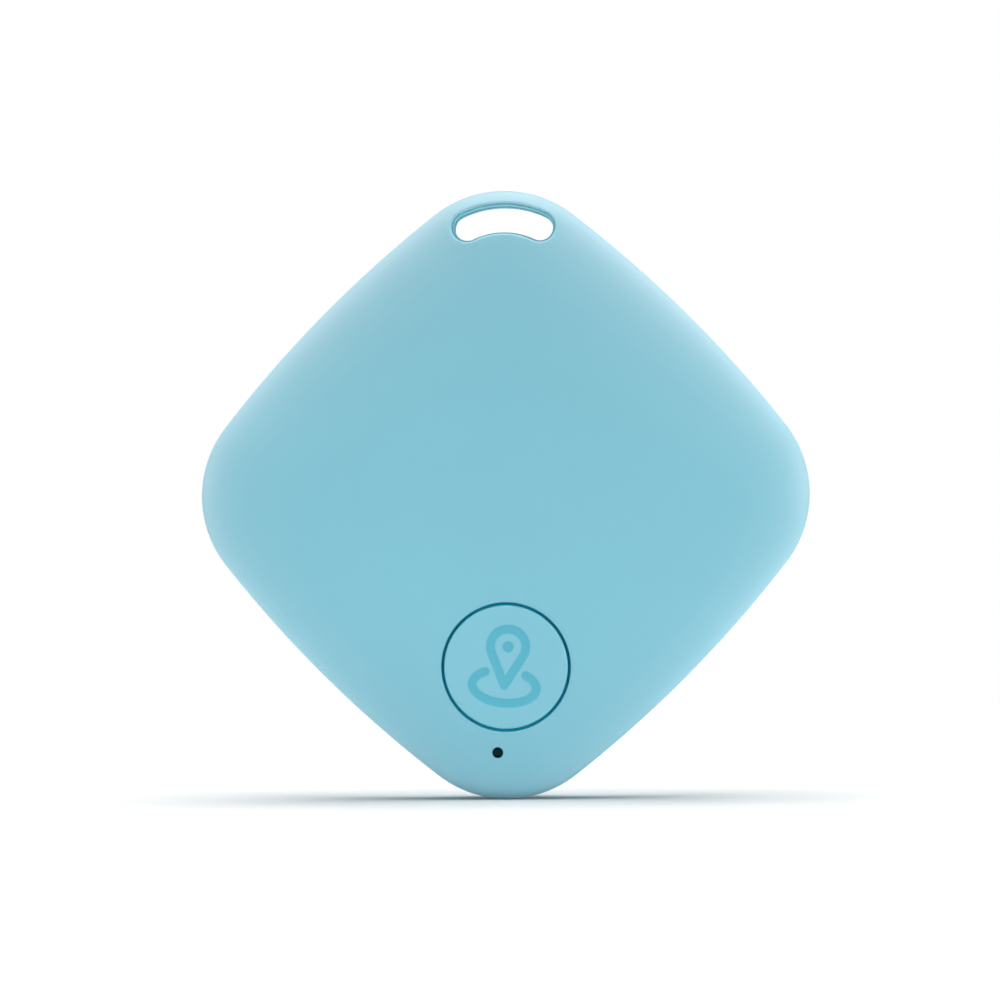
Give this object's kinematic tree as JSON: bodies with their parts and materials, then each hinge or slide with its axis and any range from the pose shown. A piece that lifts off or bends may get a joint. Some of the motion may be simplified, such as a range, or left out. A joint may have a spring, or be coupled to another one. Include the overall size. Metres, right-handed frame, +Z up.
{
  "type": "bluetooth tracker tag",
  "caption": "Rounded-diamond bluetooth tracker tag in pale blue plastic with a key-ring slot, press button, sounder, coin cell and lift-off rear cover.",
  "frame": {"origin": "middle of the curved key-ring slot, half way through the tag's thickness", "axes": "+Z up through the top corner, -Y out of the front face with the button, +X to the right seen from the front"},
  "size_m": [0.043, 0.008, 0.043],
  "materials": {
    "case_blue": "soft-touch matte",
    "button_blue": "soft-touch matte",
    "board_green": "green solder mask over fibreglass",
    "screw_steel": "zinc plated",
    "holder_black": "moulded nylon",
    "contact_metal": "tin plated spring bronze",
    "cell_steel": "nickel plated steel",
    "seal_nylon": "natural nylon",
    "cell_pellet": "pressed electrode",
    "foam_grey": "closed-cell foam",
    "switch_black": "moulded",
    "switch_steel": "stamped",
    "dome_metal": "gold flashed",
    "glue_clear": "cured adhesive",
    "buzzer_brass": "rolled",
    "buzzer_ceramic": "fired",
    "buzzer_silver": "printed silver",
    "wire_red": "wire insulation",
    "wire_black": "wire insulation",
    "solder": "solder",
    "chip_black": "moulded epoxy",
    "crystal_can": "plated lid",
    "clock_can": "plated lid",
    "antenna_white": "fired",
    "driver_black": "moulded epoxy",
    "inductor_grey": "ferrite",
    "capacitor_tan": "fired",
    "resistor_black": "coated alumina",
    "led_white": "epoxy"
  },
  "bodies": {
    "case": {"front_cover": "case_blue", "circuit_board": "board_green", "board_screws": "screw_steel", "cell_holder": "holder_black", "positive_contact": "contact_metal", "negative_contact": "contact_metal", "switch_base": "switch_black", "switch_plate": "switch_steel", "switch_dome": "dome_metal", "buzzer_ring": "glue_clear", "buzzer_plate": "buzzer_brass", "buzzer_ceramic": "buzzer_ceramic", "buzzer_electrode": "buzzer_silver", "buzzer_wire_red": "wire_red", "buzzer_wire_black": "wire_black", "solder_joints": "solder", "bluetooth_chip": "chip_black", "main_crystal": "crystal_can", "clock_crystal": "clock_can", "chip_antenna": "antenna_white", "buzzer_driver": "driver_black", "inductor": "inductor_grey", "capacitors": "capacitor_tan", "resistors": "resistor_black", "status_led": "led_white"},
    "button": {"button_cap": "button_blue", "switch_stem": "switch_black"},
    "rear_cover_body": {"rear_cover": "case_blue", "foam_pad": "foam_grey"},
    "cell": {"cell_can": "cell_steel", "cell_cap": "cell_steel", "cell_seal": "seal_nylon", "cell_core": "cell_pellet"}
  },
  "joints": [
    {"name": "button_press", "type": "slide", "parent": "case", "child": "button", "axis": [0, 1, 0], "range_m": [0, 0.00025], "stiffness_N_per_m": 4000, "springref_m": -0.0002, "deforming": ["switch_dome"]},
    {"name": "rear_cover_off", "type": "slide", "parent": "case", "child": "rear_cover_body", "axis": [0, 1, 0], "range_m": [0, 0.022]},
    {"name": "cell_out", "type": "slide", "parent": "case", "child": "cell", "axis": [0, 1, 0], "range_m": [0, 0.0099]}
  ],
  "couplings": [
    {"joint": "cell_out", "follows": "rear_cover_off", "ratio": 0.45}
  ]
}
